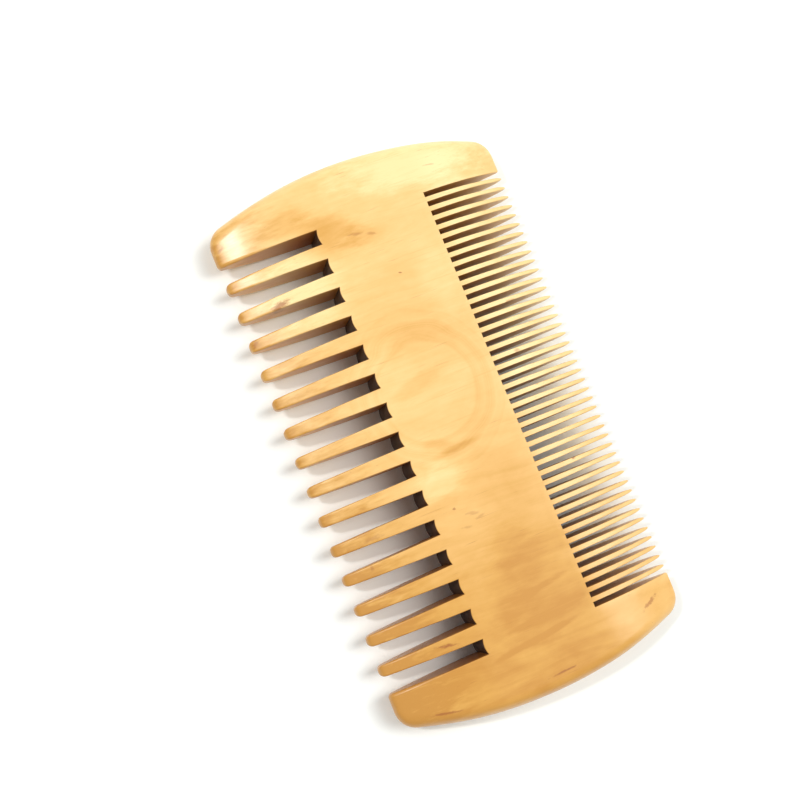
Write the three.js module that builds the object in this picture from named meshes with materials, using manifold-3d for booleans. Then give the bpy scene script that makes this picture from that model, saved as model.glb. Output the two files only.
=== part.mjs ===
// Double-sided wooden comb, cut from one flat board: wide teeth on one long side, fine teeth on
// the other, a thick guard at each end. Millimetres, +Z up, the comb lying flat.
// X runs across the comb (wide teeth at -X, fine teeth at +X), Y along it, Z through its thickness.
// The origin is the centre of the bounding box's underside.
import * as THREE from 'three';
import { mergeVertices } from 'three/addons/utils/BufferGeometryUtils.js';
import Module from 'manifold-3d';

// ---- driving dimensions ----
const LENGTH = 115;                        // over the two crowned ends
const THICKNESS = 10.5;                    // of the flat back
const BACK_WIDTH = 23.4;                   // from one root line to the other

const WIDE = {
  count: 14, pitch: 6.2, slot: 3.1,        // slot is the gap between two teeth at the root line
  length: 20.6, noseRadius: 1.7,           // the nose is the rounded edge at the tips, seen from the end
  shoulder: 17.2, shoulderWidth: 2.5,      // where the tip begins to round off, seen from above
  sideBow: 0.1,                            // how far a tooth's side bows out from straight
  flankSteps: 5, noseSteps: 3, tipSteps: 4,
};
const FINE = {
  count: 43, pitch: WIDE.pitch / 3, slot: WIDE.pitch / 6,
  length: 18.4, noseRadius: 0.45,
  shoulder: 15.8, shoulderWidth: 0.84,
  sideBow: 0.02,
  flankSteps: 5, noseSteps: 2, tipSteps: 3,
};
const ROOT_BULGE = 0.28;                   // a wide slot's floor is proud in the middle by this much
const BULGE_STEPS = 4;

const CROWN_RADIUS = 90;                   // the bowed outline of each end
const CORNER_RADIUS = 4.5;                 // where the bow turns into the long sides
const GUARD_TIP_RADIUS = 0.9;              // the guard's corner beside the wide teeth
const CROWN_STEPS = 10;
const CORNER_STEPS = 5;
const EDGE_REACH = 3.2;                    // the rounded rim of the ends, measured inwards
const EDGE_DROP = 4.4;                     // the same rim, measured down from either face
const EDGE_STEPS = 3;

const WOOD = { color: 0xe9bf7c, roughness: 0.38, metalness: 0 };

// ---- derived ----
const HALF = THICKNESS / 2;
const WIDTH = WIDE.length + BACK_WIDTH + FINE.length;
const WIDE_ROOT = -WIDTH / 2 + WIDE.length;
const FINE_ROOT = WIDTH / 2 - FINE.length;
const TOOTHED = WIDE.count * WIDE.pitch + WIDE.slot;   // both sides have the same toothed length
const GUARD_Y = TOOTHED / 2;                           // the guards begin here
const QUARTER = Math.PI / 2;
const MARGIN = 1;                                      // how far a cutting prism overshoots

const wasm = await Module();
wasm.setup();

// ---- small helpers ----
const v = (x, y) => new THREE.Vector2(x, y);

// Points along an arc, both ends included.
function arc(cx, cy, rx, ry, from, to, steps) {
  return Array.from({ length: steps + 1 }, (_, i) => {
    const a = from + (to - from) * (i / steps);
    return v(cx + rx * Math.cos(a), cy + ry * Math.sin(a));
  });
}

function toManifold(geometry) {
  const g = geometry.clone();
  g.deleteAttribute('normal');
  g.deleteAttribute('uv');
  const merged = mergeVertices(g, 1e-5);
  return new wasm.Manifold(new wasm.Mesh({
    numProp: 3,
    vertProperties: new Float32Array(merged.attributes.position.array),
    triVerts: new Uint32Array(merged.index.array),
  }));
}

function toGeometry(solid) {
  const mesh = solid.getMesh();
  const g = new THREE.BufferGeometry();
  g.setAttribute('position', new THREE.BufferAttribute(new Float32Array(mesh.vertProperties), 3));
  g.setIndex(new THREE.BufferAttribute(new Uint32Array(mesh.triVerts), 1));
  g.computeVertexNormals();
  return g;
}

// A prism on an outline seen from above, through the whole thickness.
function fromAbove(points) {
  const g = new THREE.ExtrudeGeometry(new THREE.Shape(points),
    { depth: THICKNESS + 2 * MARGIN, bevelEnabled: false });
  return toManifold(g.translate(0, 0, -MARGIN));
}

// A prism on a cross-section seen along the comb (x across, y up), centred on Y = 0.
function fromEnd(points, length) {
  const g = new THREE.ExtrudeGeometry(new THREE.Shape(points), { depth: length, bevelEnabled: false });
  return toManifold(g.rotateX(QUARTER).translate(0, length / 2, HALF));
}

// The upper half of one side's cross-section, from the root line (u = 0) to the tip, about mid
// thickness: a flank arc that leaves the flat back without a crease, then a round nose.
function flank({ length, noseRadius: r, flankSteps, noseSteps }) {
  const reach = length - r;
  const radius = (reach ** 2 + HALF ** 2 - r ** 2) / (2 * (HALF - r));
  const turn = Math.asin(reach / (radius - r));
  return [
    ...arc(0, HALF - radius, radius, radius, QUARTER, QUARTER - turn, flankSteps),
    ...arc(reach, 0, r, r, QUARTER - turn, 0, noseSteps).slice(1),
  ];
}

const mirrorDown = (points) => points.slice(0, -1).reverse().map((p) => v(p.x, -p.y));

// ---- one tooth, root at x = 0 and tip at +X ----
function tooth(side) {
  const upper = flank(side);
  const section = fromEnd([...upper, ...mirrorDown(upper)], side.pitch);
  const root = (side.pitch - side.slot) / 2;
  const shoulder = side.shoulderWidth / 2;
  const middle = v(side.shoulder / 2, (root + shoulder) / 2 + side.sideBow);
  const upperSide = [
    v(0, root), middle,
    ...arc(side.shoulder, 0, side.length - side.shoulder, shoulder, QUARTER, 0, side.tipSteps),
  ];
  return toGeometry(section.intersect(fromAbove([...upperSide, ...mirrorDown(upperSide)])));
}

// ---- the whole board: its outline from above, with rounded rims, and its cross-section ----
function boardSection() {
  const fine = flank(FINE).map((p) => v(FINE_ROOT + p.x, p.y));
  const wide = flank(WIDE).map((p) => v(WIDE_ROOT - p.x, p.y));
  return fromEnd([...fine, ...mirrorDown(fine), ...mirrorDown(wide).reverse(), ...wide.reverse()],
    LENGTH + 2 * MARGIN);
}

function boardOutline() {
  const cornerX = WIDTH / 2 - CORNER_RADIUS;
  const crownY = LENGTH / 2 - CROWN_RADIUS;
  const cornerY = crownY + Math.sqrt((CROWN_RADIUS - CORNER_RADIUS) ** 2 - cornerX ** 2);
  const turn = Math.atan2(cornerY - crownY, cornerX);
  const corner = arc(cornerX, cornerY, CORNER_RADIUS, CORNER_RADIUS, 0, turn, CORNER_STEPS);
  const crown = arc(0, crownY, CROWN_RADIUS, CROWN_RADIUS, turn, Math.PI - turn, CROWN_STEPS);
  const far = [...corner, ...crown.slice(1, -1), ...corner.map((p) => v(-p.x, p.y)).reverse()];
  return [...far, ...far.map((p) => v(-p.x, -p.y))];
}

function board() {
  const g = new THREE.ExtrudeGeometry(new THREE.Shape(boardOutline()), {
    depth: THICKNESS - 2 * EDGE_DROP, bevelEnabled: true, bevelSegments: EDGE_STEPS,
    bevelThickness: EDGE_DROP, bevelSize: EDGE_REACH, bevelOffset: -EDGE_REACH,
  });
  return toManifold(g.translate(0, 0, EDGE_DROP)).intersect(boardSection());
}

// ---- the end guard at +Y: the board beyond the last slot ----
function guard() {
  const r = GUARD_TIP_RADIUS;
  const outline = [
    v(WIDTH / 2 + MARGIN, GUARD_Y), v(WIDTH / 2 + MARGIN, LENGTH / 2 + MARGIN),
    v(-WIDTH / 2, LENGTH / 2 + MARGIN),
    ...arc(-WIDTH / 2 + r, GUARD_Y + r, r, r, Math.PI, 1.5 * Math.PI, CORNER_STEPS),
  ];
  return board().intersect(fromAbove(outline));
}

// ---- the back between the root lines, with the proud floor of each wide slot ----
function back() {
  const bow = (WIDE.slot ** 2 / 4 + ROOT_BULGE ** 2) / (2 * ROOT_BULGE);
  const half = Math.asin(WIDE.slot / 2 / bow);
  const wideSide = [];
  for (let i = 0; i <= WIDE.count; i += 1) {
    const y = GUARD_Y - WIDE.slot / 2 - i * WIDE.pitch;
    wideSide.push(...arc(WIDE_ROOT - ROOT_BULGE + bow, y, bow, bow,
      Math.PI - half, Math.PI + half, BULGE_STEPS));
  }
  return fromAbove([v(FINE_ROOT, -GUARD_Y), v(FINE_ROOT, GUARD_Y), ...wideSide])
    .intersect(boardSection());
}

// ---- assembly ----
const comb = new THREE.Group();
comb.name = 'double_sided_comb';

function add(parent, name, geometry, { x = 0, y = 0, turn = 0 } = {}) {
  const mesh = new THREE.Mesh(geometry, new THREE.MeshStandardMaterial({ ...WOOD, name }));
  mesh.name = name;
  mesh.position.set(x, y, 0);
  mesh.rotation.z = turn;
  parent.add(mesh);
}

function addTeeth(groupName, prefix, side, x, turn) {
  const group = new THREE.Group();
  group.name = groupName;
  group.position.x = x;
  comb.add(group);
  const geometry = tooth(side);
  const first = GUARD_Y - side.slot - (side.pitch - side.slot) / 2;
  for (let i = 0; i < side.count; i += 1) {
    const name = `${prefix}_${String(i + 1).padStart(2, '0')}`;
    add(group, name, geometry, { y: first - i * side.pitch, turn });
  }
}

const guardSolid = guard();
add(comb, 'comb_back', toGeometry(back()));
add(comb, 'end_guard_1', toGeometry(guardSolid));
add(comb, 'end_guard_2', toGeometry(guardSolid.mirror([0, 1, 0])));
addTeeth('wide_teeth', 'wide_tooth', WIDE, WIDE_ROOT, Math.PI);
addTeeth('fine_teeth', 'fine_tooth', FINE, FINE_ROOT, 0);

export default comb;
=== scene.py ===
"""Looks of the double-sided wooden comb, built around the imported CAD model.

Metres, +Z up, X across the comb (wide teeth at -X), Y along it. Every piece stands for one CAD node
and takes its place and size from that node's box. Sizes below are in millimetres.
"""
import math
import random

import bmesh
import bpy
import numpy as np
from mathutils import Matrix, Vector


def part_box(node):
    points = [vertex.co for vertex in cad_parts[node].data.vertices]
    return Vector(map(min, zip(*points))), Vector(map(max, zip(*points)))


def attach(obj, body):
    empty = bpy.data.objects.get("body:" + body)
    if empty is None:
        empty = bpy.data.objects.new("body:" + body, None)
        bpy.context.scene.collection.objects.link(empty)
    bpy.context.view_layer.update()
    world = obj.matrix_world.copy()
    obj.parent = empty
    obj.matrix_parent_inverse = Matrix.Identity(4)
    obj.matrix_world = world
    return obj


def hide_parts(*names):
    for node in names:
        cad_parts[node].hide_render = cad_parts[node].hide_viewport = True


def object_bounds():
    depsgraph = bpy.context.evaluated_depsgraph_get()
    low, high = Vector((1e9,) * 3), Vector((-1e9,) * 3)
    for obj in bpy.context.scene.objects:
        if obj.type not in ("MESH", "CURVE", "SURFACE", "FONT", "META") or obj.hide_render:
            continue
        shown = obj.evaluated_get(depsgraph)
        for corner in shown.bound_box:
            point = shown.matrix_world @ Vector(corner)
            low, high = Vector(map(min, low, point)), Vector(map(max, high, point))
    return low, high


MM = 0.001
QUARTER = math.pi / 2
FULL_TURN = 6.28
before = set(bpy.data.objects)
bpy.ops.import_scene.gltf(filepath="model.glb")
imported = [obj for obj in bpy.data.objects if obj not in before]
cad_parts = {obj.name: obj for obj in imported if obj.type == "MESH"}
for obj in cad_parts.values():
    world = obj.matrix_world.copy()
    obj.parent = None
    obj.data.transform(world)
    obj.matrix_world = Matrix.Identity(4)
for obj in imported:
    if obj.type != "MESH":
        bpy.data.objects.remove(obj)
cad_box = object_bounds()

# ---- shape ----
ROUND_STEPS = 4                 # faces across a rounded edge
HOLD = 0.04                     # a face this narrow beside a rounded edge keeps the flat beyond it flat
SHARP = math.radians(40)        # edges sharper than this aren't shaded smooth
ROOT_BULGE = 0.28               # the floor of a wide slot is proud in the middle
BULGE_STEPS = 8
SIDE_WALL = 0.5                 # how sawn a side wall counts as at the root, beside 1 for the end grain; this also sets how much painted shade it takes
FADE_BY_TIP = 0.8                    # the share of that which fades out by the tip: the saw marks are sanded away, and the painted shade thins as the slot grows shallow
NOSE_POWER = 4.5                # more leaves a squarer end
NOSE_ROUND = 2.2                # 2 is a round nose, more is fuller
WAVES = 4                       # a tooth's width wanders by the sum of this many waves
WAVE_RATE = (0.25, 0.9)         # radians per millimetre
WAVE_WEIGHT = (0.3, 1)

WIDE = {
    "nose": 1.7,                # radius of the rounded tip, seen from the end of the comb
    "edge": 0.16,               # edge radius at the root
    "edge_share": 0.3,          # edge radius at the tip, as a share of the smaller half size
    "edge_grows": (0.2, 0.9),   # where it changes, as shares of the rings
    "waist": (19.0, 0.37),      # the sides close in by this much up to here
    "tip_from": 16.4,           # where the tip begins, seen from above
    "tip_power": 11.0,          # more leaves a squarer tip
    "rings": 44,
    "wobble": 0.03,             # how far a tooth's sides wander
    "vary": 2.5,                # how far the tip power differs from tooth to tooth
    "guard_tip": 0.9,           # radius of a guard's corner beside these teeth
    "guard_edge": 0.5,          # how much wider the edge radius of a guard is at its tip
}
FINE = {
    "nose": 0.45, "edge": 0.07, "edge_share": 0.55, "edge_grows": (0.25, 0.9),
    "waist": (15.0, 0.085), "tip_from": 14.5, "tip_power": 3.0,
    "rings": 30, "wobble": 0.03, "vary": 0.4, "guard_tip": 0.4, "guard_edge": 0.2,
}

CROWN_RADIUS = 90.0             # the bowed outline of a guard
CORNER_RADIUS = 4.5
CROWN_WAVE = 0.04               # how far the bow is out of true
CROWN_WAVE_RATE = 0.21          # radians per millimetre
CROWN_WAVE_END = (31, 6)        # it dies out at this distance from the middle, over this much
RIM_REACH = 2.7                 # how far the rounded rim of a guard reaches in
RIM_SHARE = 0.72                # at most this share of the guard
RIM_POWER = 2.35                # 2 is an ellipse, more is squarer
RIM_STEPS = 9
GUARD_RINGS = 84
GUARD_RING_GAP = 0.4            # no ring is nearer than this to a root line
FLAT_SHARES = (0.35, 0.65, 0.95)

wide_names = sorted(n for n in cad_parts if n.startswith("wide_tooth"))
fine_names = sorted(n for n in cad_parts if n.startswith("fine_tooth"))
wide_lo, wide_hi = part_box(wide_names[0])
fine_lo, fine_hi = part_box(fine_names[0])
guard_lo, guard_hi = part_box("end_guard_1")
back_lo, back_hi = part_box("comb_back")
HALF = (back_hi.z - back_lo.z) / MM / 2
WIDE_ROOT = wide_hi.x / MM
FINE_ROOT = fine_lo.x / MM
WIDE_TIP = wide_lo.x / MM
FINE_TIP = fine_hi.x / MM
GUARD_Y = guard_lo.y / MM
END_Y = guard_hi.y / MM


def smooth(t):
    t = np.clip(t, 0.0, 1.0)
    return float(t * t * (3 - 2 * t))


def half_height(u, length, nose):
    """Half thickness at u from the root line: a flank arc that leaves the flat back, then a nose
    with a little flat left at its end."""
    u = min(max(u, 0.0), length)
    reach = length - nose
    radius = (reach ** 2 + HALF ** 2 - nose ** 2) / (2 * (HALF - nose))
    flank = HALF - radius + math.sqrt(max(radius ** 2 - u ** 2, 0))
    past = max(u - reach, 0) / nose
    return flank * (1 - past ** NOSE_POWER) ** (1 / NOSE_ROUND)


def wall_mark(u, length):
    """How sawn a side wall is at u from the root line, and how much painted shade it takes there."""
    return SIDE_WALL * (1 - FADE_BY_TIP * smooth(u / length))


def corner(cx, cy, r, start):
    """A quarter round in a section, counter-clockwise, with how much each point is a side wall."""
    return [(cx + r * math.cos(start + a), cy + r * math.sin(start + a), math.cos(start + a) ** 2)
            for a in np.linspace(0, QUARTER, ROUND_STEPS + 1)]


def rounded(w, h, e):
    """A rounded rectangle of half sizes w, h, with a narrow face next to each quarter round."""
    e = min(e, w, h)
    hx, hy = min(HOLD, (w - e) / 2), min(HOLD, (h - e) / 2)
    return [
        (w, -(h - e) + hy, 1), (w, 0, 1), (w, h - e - hy, 1), *corner(w - e, h - e, e, 0),
        (w - e - hx, h, 0), (0, h, 0), (-(w - e) + hx, h, 0), *corner(-(w - e), h - e, e, QUARTER),
        (-w, h - e - hy, 1), (-w, 0, 1), (-w, -(h - e) + hy, 1),
        *corner(-(w - e), -(h - e), e, 2 * QUARTER),
        (-(w - e) + hx, -h, 0), (0, -h, 0), (w - e - hx, -h, 0),
        *corner(w - e, -(h - e), e, 3 * QUARTER),
    ]


def loft(name, rings):
    """A closed piece through rings of points: x, y, z in millimetres, and how sawn each point is, which
    also sets its painted shade.
    """
    bm = bmesh.new()
    # this layer marks the sawn walls, and so also where painted shade goes on slot walls and slot floors
    sawn_and_shade = bm.verts.layers.float.new("sawn_and_shade")
    rows = []
    for ring in rings:
        row = []
        for x, y, z, mark in ring:
            vert = bm.verts.new(Vector((x, y, z)) * MM)
            vert[sawn_and_shade] = mark
            row.append(vert)
        rows.append(row)
    count = len(rows[0])
    for a, b in zip(rows, rows[1:]):
        for i in range(count):
            j = (i + 1) % count
            bm.faces.new((a[i], a[j], b[j], b[i]))
    bm.faces.new(rows[0][::-1])
    bm.faces.new(rows[-1])
    bmesh.ops.remove_doubles(bm, verts=bm.verts, dist=1e-7)
    bmesh.ops.recalc_face_normals(bm, faces=bm.faces)
    mesh = bpy.data.meshes.new(name)
    bm.to_mesh(mesh)
    bm.free()
    mesh.shade_smooth()
    mesh.set_sharp_from_angle(angle=SHARP)
    piece = bpy.data.objects.new(name, mesh)
    bpy.context.scene.collection.objects.link(piece)
    return piece


# ---- teeth ----
def half_width(side, u, length, root_half, blunt):
    """Half width of a tooth at u from the root line, seen from above."""
    limit, close = side["waist"]
    past = max(u - side["tip_from"], 0) / (length - side["tip_from"])
    straight = root_half - close * min(u / limit, 1)
    return straight * math.sqrt(max(1 - past ** (side["tip_power"] + blunt), 0))


def make_tooth(name, side, root, tip, seed):
    lo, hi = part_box(name)
    y = (lo.y + hi.y) / 2 / MM
    root_half = (hi.y - lo.y) / 2 / MM
    length = abs(tip - root)
    toward = math.copysign(1, tip - root)
    rng = random.Random(seed)
    waves = [(rng.uniform(*WAVE_RATE), rng.uniform(0, FULL_TURN), rng.uniform(*WAVE_WEIGHT))
             for _ in range(WAVES)]
    lean = rng.uniform(-1, 1) * side["wobble"] * 2
    blunt = rng.uniform(-1, 1) * side["vary"]
    grow_from, grow_to = side["edge_grows"]
    rings = []
    for k in range(side["rings"] + 1):
        share = 1 - (1 - k / side["rings"]) ** 2          # rings crowd towards the tip
        u = length * share
        h = half_height(u, length, side["nose"])
        w = half_width(side, u, length, root_half, blunt)
        fade = smooth(u / 2) * smooth((length - u) / 3)
        wander = sum(weight * math.sin(rate * u + phase) for rate, phase, weight in waves)
        w += side["wobble"] * 0.3 * fade * wander
        shift = lean * smooth(2 * u / length - 1) * min(w / root_half, 1)
        grown = smooth((share - grow_from) / (grow_to - grow_from))
        e = side["edge"] + (side["edge_share"] * min(w, h) - side["edge"]) * grown
        e = max(min(e, w, h), 0)
        mark = wall_mark(u, length)
        rings.append([(root + toward * u, y + shift + a, HALF + b, m * mark)
                      for a, b, m in rounded(w, h, e)])
    return loft(name, rings)


# ---- end guards ----
def crown(x):
    """How far the outline of an end reaches along Y at this distance from the middle."""
    x = abs(x)
    corner_x = FINE_TIP - CORNER_RADIUS
    crown_y = END_Y - CROWN_RADIUS
    corner_y = crown_y + math.sqrt((CROWN_RADIUS - CORNER_RADIUS) ** 2 - corner_x ** 2)
    turn = math.atan2(corner_y - crown_y, corner_x)
    if x <= corner_x + CORNER_RADIUS * math.cos(turn):
        return crown_y + math.sqrt(CROWN_RADIUS ** 2 - x ** 2)
    return corner_y + math.sqrt(max(CORNER_RADIUS ** 2 - (x - corner_x) ** 2, 0))


def guard_cuts():
    """Where the rings of a guard stand along X: close at both tips, and one on each root line."""
    cuts = [FINE_TIP * math.sin(a) for a in np.linspace(-QUARTER, QUARTER, GUARD_RINGS + 1)]
    cuts = [x for x in cuts if min(abs(x - WIDE_ROOT), abs(x - FINE_ROOT)) > GUARD_RING_GAP]
    return sorted([*cuts, WIDE_ROOT, WIDE_ROOT + WIDE["edge"], FINE_ROOT - FINE["edge"], FINE_ROOT])


def guard_at(x):
    """Half thickness of a guard, its inner edge radius, how sawn its wall is and so how much painted
    shade it takes, and where it begins.
    """
    if WIDE_ROOT < x < FINE_ROOT:
        return HALF, 0.0, 0.0, GUARD_Y
    side, u, length = FINE, x - FINE_ROOT, FINE_TIP - FINE_ROOT
    if x <= WIDE_ROOT:
        side, u, length = WIDE, WIDE_ROOT - x, WIDE_ROOT - WIDE_TIP
    h = half_height(u, length, side["nose"])
    edge = side["edge"] + side["guard_edge"] * smooth(u / length * 1.3 - 0.3)
    tip, gap = side["guard_tip"], length - u
    inner = GUARD_Y
    if gap < tip:
        inner += tip - math.sqrt(max(tip ** 2 - (tip - gap) ** 2, 0))
    return h, edge, wall_mark(u, WIDE_ROOT - WIDE_TIP), inner


def guard_ring(x, phase):
    """The section of the guard at +Y at this x: along Y, up from mid thickness, and how sawn, which also
    sets the painted shade.
    """
    h, edge, wall, inner = guard_at(x)
    wave_end, wave_fade = CROWN_WAVE_END
    wave = CROWN_WAVE * (1 + math.sin(x * CROWN_WAVE_RATE + phase))
    outer = crown(x) - wave * smooth((wave_end - abs(x)) / wave_fade)
    reach = min(RIM_REACH, (outer - inner) * RIM_SHARE)
    edge = min(edge, h * 0.7, (outer - inner) * 0.25)
    hold = min(HOLD, (h - edge) / 2)
    first, flat = inner + edge, outer - reach
    shares = (min(HOLD / (flat - first), 0.25), *FLAT_SHARES)
    turns = np.linspace(0, QUARTER, ROUND_STEPS + 1)

    ring = [(inner, -(h - edge) + hold, wall), (inner, 0, wall), (inner, h - edge - hold, wall)]
    ring += [(first - edge * math.cos(t), h - edge + edge * math.sin(t), wall * math.cos(t) ** 2)
             for t in turns]
    ring += [(first + (flat - first) * t, h, 0) for t in shares]
    for t in np.linspace(0, math.pi, 2 * RIM_STEPS + 1):
        c, s = math.cos(t), math.sin(t)
        ring.append((flat + reach * abs(s) ** (2 / RIM_POWER),
                     h * math.copysign(abs(c) ** (2 / RIM_POWER), c), 0))
    ring += [(first + (flat - first) * t, -h, 0) for t in shares[::-1]]
    ring += [(first - edge * math.sin(t), -(h - edge) - edge * math.cos(t), wall * math.sin(t) ** 2)
             for t in turns]
    return ring


def make_guard(name, end, seed):
    phase = random.Random(seed).uniform(0, FULL_TURN)
    return loft(name, [[(x, end * a, HALF + b, m) for a, b, m in guard_ring(x, phase)]
                       for x in guard_cuts()])


# ---- the back ----
def bulge(y, middle, half):
    return ROOT_BULGE * max(1 - ((y - middle) / half) ** 2, 0)


def root_spans(names):
    """Where each tooth meets the back along Y: its upper and its lower end, from +Y down."""
    boxes = [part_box(n) for n in names]
    return [(hi.y / MM, lo.y / MM) for lo, hi in boxes]


def back_outline(wide, fine, o_wide, o_fine):
    """The back seen from above, with its slot floors set in by these offsets."""
    points = []
    tops = [GUARD_Y] + [low for _, low in wide]
    bottoms = [high for high, _ in wide] + [-GUARD_Y]
    for i, (a, b) in enumerate(zip(tops, bottoms)):
        mid, half = (a + b) / 2, (a - b) / 2
        first = a + (o_wide if i else 0)
        last = b - (o_wide if i < len(wide) else 0)
        if i:
            points.append((WIDE_ROOT, first))
        for t in np.linspace(0, 1, BULGE_STEPS + 1):
            y = first + (last - first) * t
            points.append((WIDE_ROOT + o_wide - bulge(y, mid, half), y))
        if i < len(wide):
            points.append((WIDE_ROOT, last))
    tops = [-GUARD_Y] + [high for high, _ in fine[::-1]]
    bottoms = [low for _, low in fine[::-1]] + [GUARD_Y]
    for i, (a, b) in enumerate(zip(tops, bottoms)):
        first = a - (o_fine if i else 0)
        last = b + (o_fine if i < len(fine) else 0)
        if i:
            points.append((FINE_ROOT, first))
        points += [(FINE_ROOT - o_fine, first), (FINE_ROOT - o_fine, last)]
        if i < len(fine):
            points.append((FINE_ROOT, last))
    return points


def make_back(name):
    wide, fine = root_spans(wide_names), root_spans(fine_names)
    wide_edge, fine_edge = WIDE["edge"], FINE["edge"]
    levels = []
    for t in np.linspace(0, QUARTER, ROUND_STEPS + 1):
        c, s = 1 - math.cos(t), 1 - math.sin(t)
        levels.append((c * wide_edge, c * fine_edge, s * wide_edge, s * fine_edge))
    levels.append((wide_edge + HOLD, fine_edge + HOLD, 0.0, 0.0))

    def ring(level, sign):
        o_wide, o_fine, drop_wide, drop_fine = level
        # the walls of the back are the slot floors: they take the end grain colour with its painted
        # shade
        mark = min(drop_wide / wide_edge, 1)
        return [(x, y, HALF + sign * (HALF - (drop_wide if x < 0 else drop_fine)), mark)
                for x, y in back_outline(wide, fine, o_wide, o_fine)]

    return loft(name, [ring(lv, 1) for lv in levels[::-1]] + [ring(lv, -1) for lv in levels])


GUARD_SEED, WIDE_SEED, FINE_SEED = 70, 100, 300
pieces = {"comb_back": make_back("comb_back")}
for i, n in enumerate(("end_guard_1", "end_guard_2")):
    pieces[n] = make_guard(n, 1 - 2 * i, GUARD_SEED + i)
for i, n in enumerate(wide_names):
    pieces[n] = make_tooth(n, WIDE, WIDE_ROOT, WIDE_TIP, WIDE_SEED + i)
for i, n in enumerate(fine_names):
    pieces[n] = make_tooth(n, FINE, FINE_ROOT, FINE_TIP, FINE_SEED + i)


# ---- the wood ----
class Graph:
    """Short calls for building a material's node tree, with places on the comb in millimetres."""

    def __init__(self, material):
        material.use_nodes = True
        self.tree = material.node_tree
        self.tree.nodes.clear()
        scale = self.node("ShaderNodeVectorMath", operation="SCALE")
        self.feed(scale.inputs[0], self.node("ShaderNodeTexCoord").outputs["Object"])
        self.feed(scale.inputs["Scale"], 1 / MM)
        self.at = scale.outputs["Vector"]
        split = self.node("ShaderNodeSeparateXYZ")
        self.feed(split.inputs[0], self.at)
        self.x, self.y, self.z = split.outputs

    def node(self, kind, **settings):
        made = self.tree.nodes.new(kind)
        for key, value in settings.items():
            setattr(made, key, value)
        return made

    def feed(self, socket, value):
        if isinstance(value, bpy.types.NodeSocket):
            self.tree.links.new(value, socket)
        elif value is not None:
            socket.default_value = value

    def math(self, operation, a, b=None):
        made = self.node("ShaderNodeMath", operation=operation)
        self.feed(made.inputs[0], a)
        self.feed(made.inputs[1], b)
        return made.outputs[0]

    def total(self, values):
        result = values[0]
        for value in values[1:]:
            result = self.math("ADD", result, value)
        return result

    def far(self, a, b):
        """The length of the hypotenuse over a and b."""
        return self.math("SQRT", self.math("ADD", self.math("MULTIPLY", a, a),
                                           self.math("MULTIPLY", b, b)))

    def stretched(self, sx, sy, sz):
        made = self.node("ShaderNodeVectorMath", operation="MULTIPLY")
        self.feed(made.inputs[0], self.at)
        self.feed(made.inputs[1], (sx, sy, sz))
        return made.outputs["Vector"]

    def joined(self, *values):
        made = self.node("ShaderNodeCombineXYZ")
        for socket, value in zip(made.inputs, values):
            self.feed(socket, value)
        return made.outputs[0]

    def noise(self, at, scale, detail, rough, distortion=0.0):
        made = self.node("ShaderNodeTexNoise")
        self.feed(made.inputs["Vector"], at)
        self.feed(made.inputs["Scale"], scale)
        self.feed(made.inputs["Detail"], detail)
        self.feed(made.inputs["Roughness"], rough)
        self.feed(made.inputs["Distortion"], distortion)
        return made.outputs["Fac"]

    def span(self, value, low, high, to_low=0.0, to_high=1.0, kind="SMOOTHSTEP"):
        made = self.node("ShaderNodeMapRange", interpolation_type=kind)
        for socket, v in zip(made.inputs, (value, low, high, to_low, to_high)):
            self.feed(socket, v)
        return made.outputs[0]

    def mix(self, fac, a, b, blend="MIX"):
        made = self.node("ShaderNodeMix", data_type="RGBA", blend_type=blend, clamp_factor=True)
        self.feed(made.inputs["Factor"], fac)
        self.feed(made.inputs[6], a)
        self.feed(made.inputs[7], b)
        return made.outputs[2]

    def ramp(self, fac, stops):
        made = self.node("ShaderNodeValToRGB")
        elements = made.color_ramp.elements
        while len(elements) < len(stops):
            elements.new(0.5)
        for element, (place, colour) in zip(elements, stops):
            element.position = place
            element.color = colour
        self.feed(made.inputs[0], fac)
        return made.outputs[0]


def linear(r, g, b):
    """An sRGB colour, 0 to 255, as the linear values that a shader takes."""
    def one(c):
        c /= 255
        return c / 12.92 if c <= 0.04045 else ((c + 0.055) / 1.055) ** 2.4
    return (one(r), one(g), one(b), 1.0)


CREAM = linear(246, 220, 158)
PALE = linear(240, 203, 135)
HONEY = linear(234, 186, 112)
AMBER = linear(215, 161, 78)
DEEP = linear(200, 142, 62)
TONES = [(0.0, CREAM), (0.25, PALE), (0.51, HONEY), (0.81, AMBER), (1.0, DEEP)]
STREAK = linear(163, 98, 48)
WHITE = (1.0, 1.0, 1.0, 1.0)
SAWN_TONE_AND_SHADE = (0.64, 0.44, 0.22, 1.0)          # what a sawn side wall keeps of the colour: a darker sawn tone, with painted shade of the slot
END_GRAIN_AND_SHADE = (0.08, 0.055, 0.045, 1.0)   # what the end grain keeps on the slot floors, between the wide teeth and between the fine ones: a darker tone, made near black by painted shade

FLAME_X, FLAME_Y = -2.0, 8.0            # the middle of the flame figure
FLAME_HALF_X, FLAME_HALF_Y = 12.5, 14.5
FLAME_RINGS = 7.0                       # growth rings between its middle and its outline
DRIFT = 14.0                            # how far the grain wanders along Y

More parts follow.
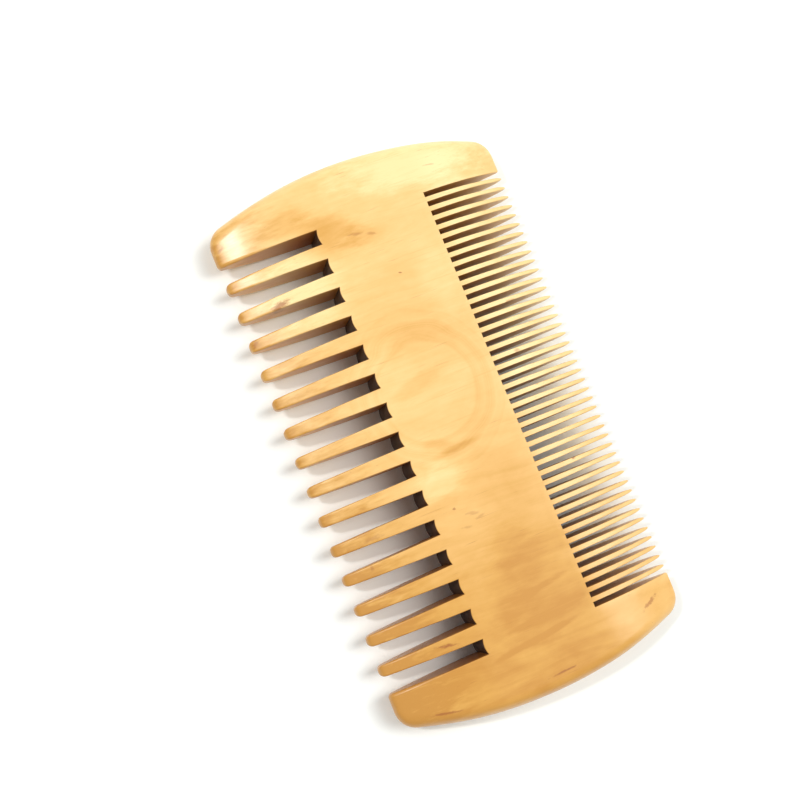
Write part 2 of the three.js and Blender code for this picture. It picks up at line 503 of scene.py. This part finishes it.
# Small natural marks, as centre x and y, half length, half width in millimetres, turn in degrees,
# and strength.
MARKS = [
    (-22.8, 33.4, 2.2, 0.75, 12, 0.8),
    (-17.3, -40.4, 2.2, 0.35, -13, 0.9),
    (-25.2, -21.1, 0.35, 0.55, 10, 0.5),
    (-23.0, -15.9, 2.2, 0.5, 0, 0.35),
    (2.0, 31.1, 0.4, 0.2, -20, 0.8),
    (-6.1, -16.5, 0.35, 0.25, 0, 0.7),
    (-3.2, -18.6, 1.6, 0.4, -15, 0.32),
    (-1.7, -19.8, 1.0, 0.3, 10, 0.3),
    (-5.0, -20.8, 0.9, 0.3, -5, 0.3),
    (-3.6, 41.6, 1.6, 0.35, -12, 0.4),
    (-0.4, 40.6, 1.2, 0.3, -16, 0.35),
    (-22.2, -52.2, 3.6, 0.28, -12, 0.75),
    (2.2, -53.8, 3.4, 0.22, 2, 0.8),
    (24.4, -48.6, 2.3, 0.45, 24, 0.65),
    (-29.6, 48.2, 1.1, 0.3, 35, 0.5),
    (16.2, 50.1, 1.3, 0.16, -8, 0.35),
    (20.8, -16.2, 0.5, 0.3, 0, 0.8),
    (22.6, 36.4, 1.1, 0.35, 0, 0.45),
    (21.3, 18.1, 1.2, 0.5, 0, 0.45),
    (18.5, 8.1, 0.7, 0.4, 0, 0.5),
    (19.8, 0.6, 0.7, 0.4, 0, 0.45),
    (-29.9, 28.2, 0.9, 0.45, 50, 0.5),
]


# Broad clouds of colour, given the same way; a negative strength is paler. Two of the pale ones are
# painted highlights, on the rim of the upper guard and on the upper wide teeth.
TINTS_AND_HIGHLIGHTS = [
    (-3.5, 9.0, 6.0, 2.0, 15, 0.14),
    (-6.5, -10.5, 6.0, 4.0, 10, -0.22),
    (-1.0, -5.6, 5.5, 0.9, 5, 0.2),
    (-4.5, -3.5, 4.0, 1.0, -18, 0.14),
    (2.5, -29.0, 6.0, 8.0, 20, 0.08),
    # painted highlight along the rim of the upper guard
    (12.0, 52.0, 19.0, 6.0, -6, -0.34),
    (-9.0, 43.5, 8.0, 5.0, -14, 0.26),
    (2.0, 24.0, 12.0, 14.0, 0, 0.1),
    (-18.0, 48.0, 8.0, 3.0, 18, 0.2),
    (-2.5, 41.0, 5.0, 2.5, -10, 0.1),
    (3.0, -42.5, 9.0, 0.8, 4, 0.16),
    (0.0, -46.0, 10.0, 0.7, 5, 0.16),
    (4.0, -37.0, 7.0, 0.8, 8, 0.12),
    (8.5, 28.0, 4.0, 9.0, 0, -0.12),
    # painted highlight, a pale sheen on the upper wide teeth
    (-19.0, 34.0, 9.0, 13.0, 0, -0.3),
]


def spot(g, ragged, raggedness, cx, cy, half_length, half_width, turn, strength):
    """A ragged ellipse on the board: its strength in the middle, nothing beyond its edge."""
    a = math.radians(turn)
    dx, dy = g.math("SUBTRACT", g.x, cx), g.math("SUBTRACT", g.y, cy)
    along = g.math("ADD", g.math("MULTIPLY", dx, math.cos(a) / half_length),
                   g.math("MULTIPLY", dy, math.sin(a) / half_length))
    across = g.math("ADD", g.math("MULTIPLY", dx, -math.sin(a) / half_width),
                    g.math("MULTIPLY", dy, math.cos(a) / half_width))
    uneven = g.math("MULTIPLY", g.math("SUBTRACT", ragged, 0.5), raggedness)
    return g.span(g.math("ADD", g.far(along, across), uneven), 1.25, 0.3, 0.0, strength)


def growth_layers(g):
    """How far out in the flame figure a place is, 1 on its outline, and the grain that follows it
    there and is nearly straight elsewhere."""
    drift = g.noise(g.stretched(0.35, 1.0, 1.0), 0.05, 3.0, 0.5)
    bent = g.math("ADD", g.y, g.math("MULTIPLY", g.math("SUBTRACT", drift, 0.5), DRIFT))
    flame = g.far(g.math("MULTIPLY", g.math("SUBTRACT", g.x, FLAME_X), 1 / FLAME_HALF_X),
                  g.math("MULTIPLY", g.math("SUBTRACT", bent, FLAME_Y), 1 / FLAME_HALF_Y))
    rings = g.noise(g.joined(g.math("MULTIPLY", flame, FLAME_RINGS)), 1.0, 3.0, 0.6)
    shell = g.math("MULTIPLY", g.span(flame, 0.55, 0.95), g.span(flame, 1.45, 1.05))
    straight = g.joined(g.math("MULTIPLY", g.x, 0.012), g.math("MULTIPLY", bent, 0.6),
                        g.math("MULTIPLY", g.z, 0.3))
    lines = g.noise(straight, 1.0, 6.0, 0.6, 0.15)
    return flame, g.mix(g.math("MULTIPLY", shell, 0.8), lines, g.span(rings, 0.25, 0.75))


def wood_tone(g):
    """How deep the colour is: cloudy, deeper towards the wide tips, and deeper towards the lower end,
    partly as painted shade where the light falls off.
    """
    flame, grain = growth_layers(g)
    cloud = g.noise(g.stretched(0.5, 1.0, 1.0), 0.09, 4.0, 0.55, 0.6)
    mottle = g.noise(g.stretched(0.55, 1.0, 1.0), 0.6, 5.0, 0.6)
    streaks = g.math("SUBTRACT", g.noise(g.stretched(0.16, 0.95, 0.6), 1.0, 4.0, 0.6, 0.3), 0.48)
    halo = g.span(g.math("ABSOLUTE", g.math("SUBTRACT", flame, 0.95)), 0.28, 0.0, 0.0, 0.11)
    # deeper towards the lower end: partly the wood's tone, partly painted shade for the light falling
    # off there
    lower_tone_and_shade = g.span(g.y, 8.0, -42.0, 0.0, 0.42, "LINEAR")
    between_guards = g.span(g.math("ABSOLUTE", g.y), 44.0, 47.0, 1.0, 0.0)
    tint_edge = g.noise(g.stretched(0.4, 1.6, 1.6), 0.5, 5.0, 0.65)
    return g.total([
        g.math("MULTIPLY", cloud, 0.5),
        g.math("MULTIPLY", grain, 0.26),
        g.math("MULTIPLY", mottle, 0.15),
        g.math("MULTIPLY", lower_tone_and_shade, g.span(g.x, 4.0, 28.0, 1.0, 0.5)),
        g.span(g.x, -14.0, -31.0, 0.0, 0.22),                                # wide teeth
        g.math("MULTIPLY", streaks, g.span(g.x, -13.0, -24.0, 0.0, 0.9)),
        g.span(g.x, -28.3, -30.6, 0.0, 0.2),                                 # their tips
        g.math("MULTIPLY", between_guards, g.span(g.x, 11.0, 16.0, 0.0, -0.2)),   # fine teeth
        g.math("MULTIPLY", halo, g.span(g.x, -11.0, 2.0)),
        *(spot(g, tint_edge, 1.2, *tint) for tint in TINTS_AND_HIGHLIGHTS),
    ])


def wood_marks(g):
    """The natural marks, on the upper face only."""
    ragged = g.noise(g.stretched(0.9, 2.4, 2.4), 1.0, 3.0, 0.6)
    marks = 0.0
    for mark in MARKS:
        marks = g.math("MAXIMUM", marks, spot(g, ragged, 2.2, *mark))
    return g.math("MULTIPLY", marks, g.span(g.z, HALF, HALF + 1.0))


def make_wood():
    material = bpy.data.materials.new("comb_wood")
    g = Graph(material)
    # how sawn a place is, which also carries the painted shade of slot walls and slot floors
    sawn_and_shade = g.node("ShaderNodeAttribute", attribute_name="sawn_and_shade").outputs["Fac"]

    # Fine fibres and pores, long in X.
    fibre = g.noise(g.stretched(0.06, 2.6, 2.6), 1.0, 4.0, 0.65, 0.1)
    pore = g.span(g.noise(g.stretched(0.16, 5.0, 5.0), 1.0, 2.0, 0.5), 0.68, 0.8)

    colour = g.ramp(g.span(wood_tone(g), 0.16, 0.96, kind="LINEAR"), TONES)
    colour = g.mix(g.math("MULTIPLY", g.span(fibre, 0.56, 0.75), 0.32), colour, AMBER)
    colour = g.mix(g.math("MULTIPLY", pore, 0.42), colour, STREAK)
    colour = g.mix(wood_marks(g), colour, STREAK)
    # Painted shade: slot walls and slot floors are darkened in the colour, along with a darker sawn
    # tone.
    shade = g.ramp(sawn_and_shade, [(0.0, WHITE), (0.5, SAWN_TONE_AND_SHADE), (1.0, END_GRAIN_AND_SHADE)])
    colour = g.mix(1.0, colour, shade, "MULTIPLY")

    # Sawn walls are rougher than the polished faces, with saw marks across them.
    rough = g.total([g.math("MULTIPLY", fibre, 0.12), g.math("MULTIPLY", sawn_and_shade, 0.25), 0.32])
    saw = g.math("MULTIPLY", g.noise(g.stretched(2.2, 0.4, 0.25), 1.0, 2.0, 0.5), sawn_and_shade)
    height = g.total([g.math("MULTIPLY", fibre, 0.004), g.math("MULTIPLY", pore, -0.006),
                      g.math("MULTIPLY", saw, 0.05)])
    bump = g.node("ShaderNodeBump")
    bump.inputs["Strength"].default_value = 0.5
    bump.inputs["Distance"].default_value = MM
    g.feed(bump.inputs["Height"], height)

    shader = g.node("ShaderNodeBsdfPrincipled")
    g.feed(shader.inputs["Base Color"], colour)
    g.feed(shader.inputs["Roughness"], rough)
    g.feed(shader.inputs["Normal"], bump.outputs[0])
    shader.inputs["IOR"].default_value = 1.5
    shader.inputs["Coat Weight"].default_value = 0.25
    shader.inputs["Coat Roughness"].default_value = 0.18
    g.feed(g.node("ShaderNodeOutputMaterial").inputs[0], shader.outputs[0])
    return material


wood = make_wood()
for node, piece in pieces.items():
    piece.data.materials.append(wood)
    piece.name = f"{node}_wood"
    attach(piece, "root")
    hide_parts(node)

# ---- floor, in metres ----
FLOOR_HALF = 3.0
corners = [(-FLOOR_HALF, -FLOOR_HALF, 0), (FLOOR_HALF, -FLOOR_HALF, 0),
           (FLOOR_HALF, FLOOR_HALF, 0), (-FLOOR_HALF, FLOOR_HALF, 0)]
floor_mesh = bpy.data.meshes.new("floor")
floor_mesh.from_pydata(corners, [], [(0, 1, 2, 3)])
floor = bpy.data.objects.new("floor", floor_mesh)
bpy.context.scene.collection.objects.link(floor)
paper = bpy.data.materials.new("floor_paper")
paper.use_nodes = True
paper_shader = paper.node_tree.nodes["Principled BSDF"]
paper_shader.inputs["Base Color"].default_value = (0.93, 0.955, 0.93, 1)
paper_shader.inputs["Roughness"].default_value = 0.8
paper_shader.inputs["Specular IOR Level"].default_value = 0.2
floor_mesh.materials.append(paper)

# ---- light ----
KEY_SPREAD = 30
KEY = [(46, 0.62, False), (56, 0.7, True), (66, 0.77, False)]   # height, strength, shows in the gloss
SURROUND = 0.4                  # how strongly the surroundings light the comb
BACKDROP = 0.87                 # how bright they are where the camera sees them
middle = (cad_box[0] + cad_box[1]) / 2


def softbox(name, direction, distance, size, power):
    """A rectangular lamp aimed at the comb; size is its height and its width along Y, in metres."""
    data = bpy.data.lights.new(name, "AREA")
    data.shape = "RECTANGLE"
    data.size, data.size_y = size
    data.energy = power
    lamp = bpy.data.objects.new(name, data)
    back = Vector(direction).normalized()
    along = Vector((0, 1, 0)) - back * back.y
    along.normalize()
    lamp.matrix_world = Matrix.Translation(middle + back * distance) @ Matrix(
        (along.cross(back), along, back)).transposed().to_4x4()
    bpy.context.scene.collection.objects.link(lamp)


def sun(name, height, strength, glossy):
    """Even light from +X at that height in degrees, over the whole floor, from a soft disc."""
    data = bpy.data.lights.new(name, "SUN")
    data.energy = strength
    data.angle = math.radians(KEY_SPREAD)
    lamp = bpy.data.objects.new(name, data)
    lamp.rotation_mode = "QUATERNION"
    a = math.radians(height)
    lamp.rotation_quaternion = Vector((math.cos(a), 0, math.sin(a))).to_track_quat("Z", "Y")
    lamp.visible_glossy = glossy
    bpy.context.scene.collection.objects.link(lamp)


# The key stands over the fine teeth, in line with the slots: one tall soft strip, in three parts.
for i, (height, strength, glossy) in enumerate(KEY):
    sun(f"key_{i + 1}", height, strength, glossy)
softbox("window", (-0.47, 0.29, 0.83), 0.9, (0.12, 0.06), 2.5)
softbox("top", (-0.05, 0.85, 0.55), 1.0, (0.6, 0.6), 1.6)

world = bpy.data.worlds.new("studio")
bpy.context.scene.world = world
world.use_nodes = True
sky = world.node_tree.nodes["Background"]
sky.inputs["Color"].default_value = WHITE
seen = world.node_tree.nodes.new("ShaderNodeLightPath").outputs["Is Camera Ray"]
level = world.node_tree.nodes.new("ShaderNodeMapRange")
level.inputs["To Min"].default_value = SURROUND
level.inputs["To Max"].default_value = BACKDROP
world.node_tree.links.new(seen, level.inputs["Value"])
world.node_tree.links.new(level.outputs[0], sky.inputs["Strength"])

# ---- camera: above the comb, a little towards the wide teeth, rolled so the comb stands diagonally ----
EYE = Vector((-58.39, -11.81, 248.83)) * MM
RIGHT = Vector((0.91209, -0.37616, 0.16308))
UP = Vector((0.35414, 0.92326, 0.14894))
camera = bpy.data.objects.new("camera", bpy.data.cameras.new("camera"))
bpy.context.scene.collection.objects.link(camera)
camera.matrix_world = Matrix.Translation(EYE) @ Matrix(
    (RIGHT, UP, RIGHT.cross(UP))).transposed().to_4x4()
camera.data.sensor_width = 36.0
camera.data.lens = 55.78
camera.data.clip_start = 0.01
camera.data.clip_end = 20.0
bpy.context.scene.camera = camera
bpy.context.scene.view_settings.view_transform = "Standard"
